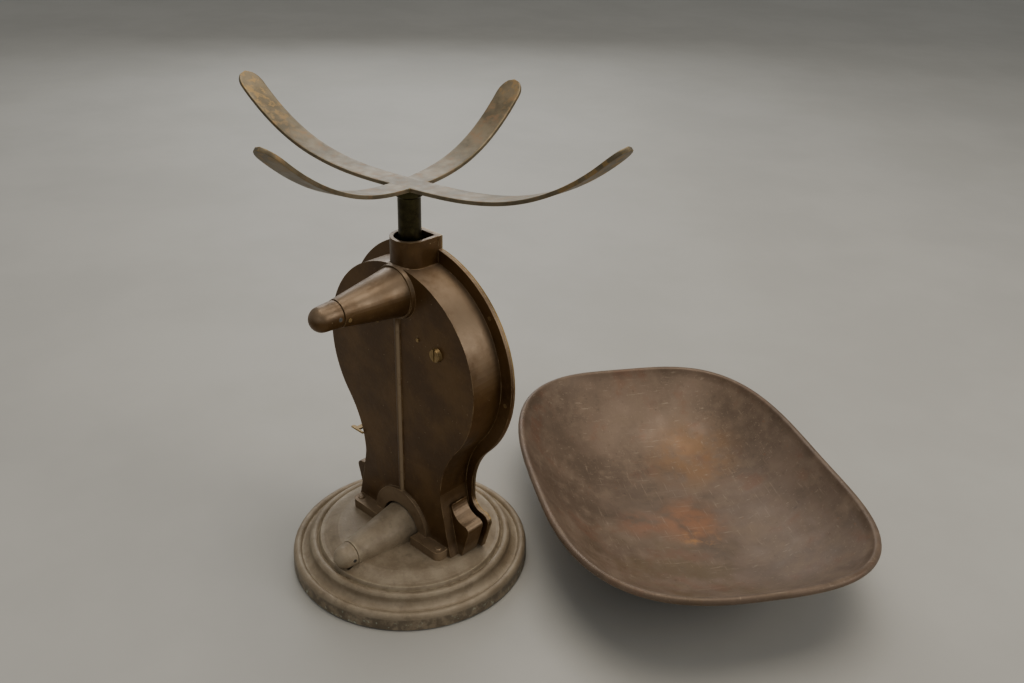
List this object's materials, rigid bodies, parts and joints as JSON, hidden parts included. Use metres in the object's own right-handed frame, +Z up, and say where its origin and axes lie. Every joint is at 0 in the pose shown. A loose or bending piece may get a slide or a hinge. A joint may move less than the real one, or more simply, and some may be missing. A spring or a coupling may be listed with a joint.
{
  "type": "counter spring balance",
  "caption": "Old counter spring balance with a keyhole-shaped iron housing, a brass dial, a four-armed pan rest and a loose oblong brass pan.",
  "frame": {"origin": "centre of the round foot, on the surface that the balance stands on", "axes": "+Z up, -Y the way the dial faces, +Y the way the two link cones point, X across the dial"},
  "size_m": [0.5275, 0.5024, 0.4039],
  "materials": {
    "housing_lacquer": "dark brown bronze lacquer, glossy, worn along its edges",
    "foot_iron": "dull grey-brown lacquer, worn pale on the ring crests, chipped",
    "plate_brass": "satin brass, brown with age",
    "dial_brass": "satin brass with black filled figures",
    "bright_brass": "satin brass",
    "tarnished_brass": "olive-brown tarnish, golden where the edges are worn",
    "rod_brass": "dark olive-brown tarnish, smooth",
    "pan_brass": "red-brown patina with orange worn patches and fine scratches",
    "steel": "satin",
    "spring_steel": "oiled grey",
    "screw_brass": "dull brass",
    "blued_steel": "blued, satin"
  },
  "bodies": {
    "stand": {"base_casting": "foot_iron", "lower_cone": "foot_iron", "rear_housing": "housing_lacquer", "face_plate": "plate_brass", "dial_plate": "dial_brass", "dial_bezel": "bright_brass", "upper_cone_cap": "housing_lacquer", "lower_cone_cap": "foot_iron", "cone_cap_screws": "screw_brass", "foot_screws": "housing_lacquer", "face_plate_screws": "screw_brass", "dial_screws": "screw_brass", "spring_studs": "screw_brass", "rear_pins": "screw_brass", "upper_pivot_pin": "steel", "lower_pivot_pin": "steel", "movement_bridge": "bright_brass", "movement_pillars": "bright_brass", "bridge_screws": "steel", "arbor_bush": "bright_brass", "left_spring": "spring_steel", "right_spring": "spring_steel"},
    "plunger": {"plunger_rod": "rod_brass", "pan_rest": "tarnished_brass", "draw_bar": "steel", "rack": "steel", "rack_bracket": "steel", "spring_crossbar": "steel", "crossbar_pins": "steel", "crossbar_screw": "screw_brass", "upper_draw_pin": "steel", "lower_draw_pin": "steel"},
    "pointer": {"pointer_arbor": "steel", "pinion": "bright_brass", "pointer": "blued_steel", "pointer_hub": "bright_brass"},
    "upper_link": {"upper_link": "steel"},
    "lower_link": {"lower_link": "steel"},
    "zero_screw": {"zero_screw": "screw_brass", "zero_cam": "bright_brass"},
    "pan": {"pan": "pan_brass"}
  },
  "joints": [
    {"name": "plunger_slide", "type": "slide", "parent": "stand", "child": "plunger", "axis": [0, 0, -1], "range_m": [0, 0.022], "stiffness_N_per_m": 2800, "springref_m": -0.006, "deforming": ["left_spring", "right_spring"]},
    {"name": "pointer_turn", "type": "hinge", "parent": "stand", "child": "pointer", "pos_m": [0, -0.0286, 0.19], "axis": [0, 1, 0], "range_deg": [0, 316]},
    {"name": "upper_link_swing", "type": "hinge", "parent": "stand", "child": "upper_link", "pos_m": [0, 0.069, 0.2535], "axis": [1, 0, 0], "range_deg": [0, 16.5]},
    {"name": "lower_link_swing", "type": "hinge", "parent": "stand", "child": "lower_link", "pos_m": [0, 0.069, 0.033], "axis": [1, 0, 0], "range_deg": [0, 16.5]},
    {"name": "zero_turn", "type": "hinge", "parent": "stand", "child": "zero_screw", "pos_m": [0.045, -0.002, 0.104], "axis": [1, 0, 0], "range_deg": [-15, 15]},
    {"name": "pan_lift", "type": "slide", "parent": "stand", "child": "pan", "axis": [0, 0, 1], "range_m": [0, 0.12]}
  ],
  "couplings": [
    {"joint": "pointer_turn", "follows": "plunger_slide", "rad_per_m": 250},
    {"joint": "upper_link_swing", "follows": "plunger_slide", "rad_per_m": 13.067},
    {"joint": "lower_link_swing", "follows": "plunger_slide", "rad_per_m": 13.067}
  ]
}
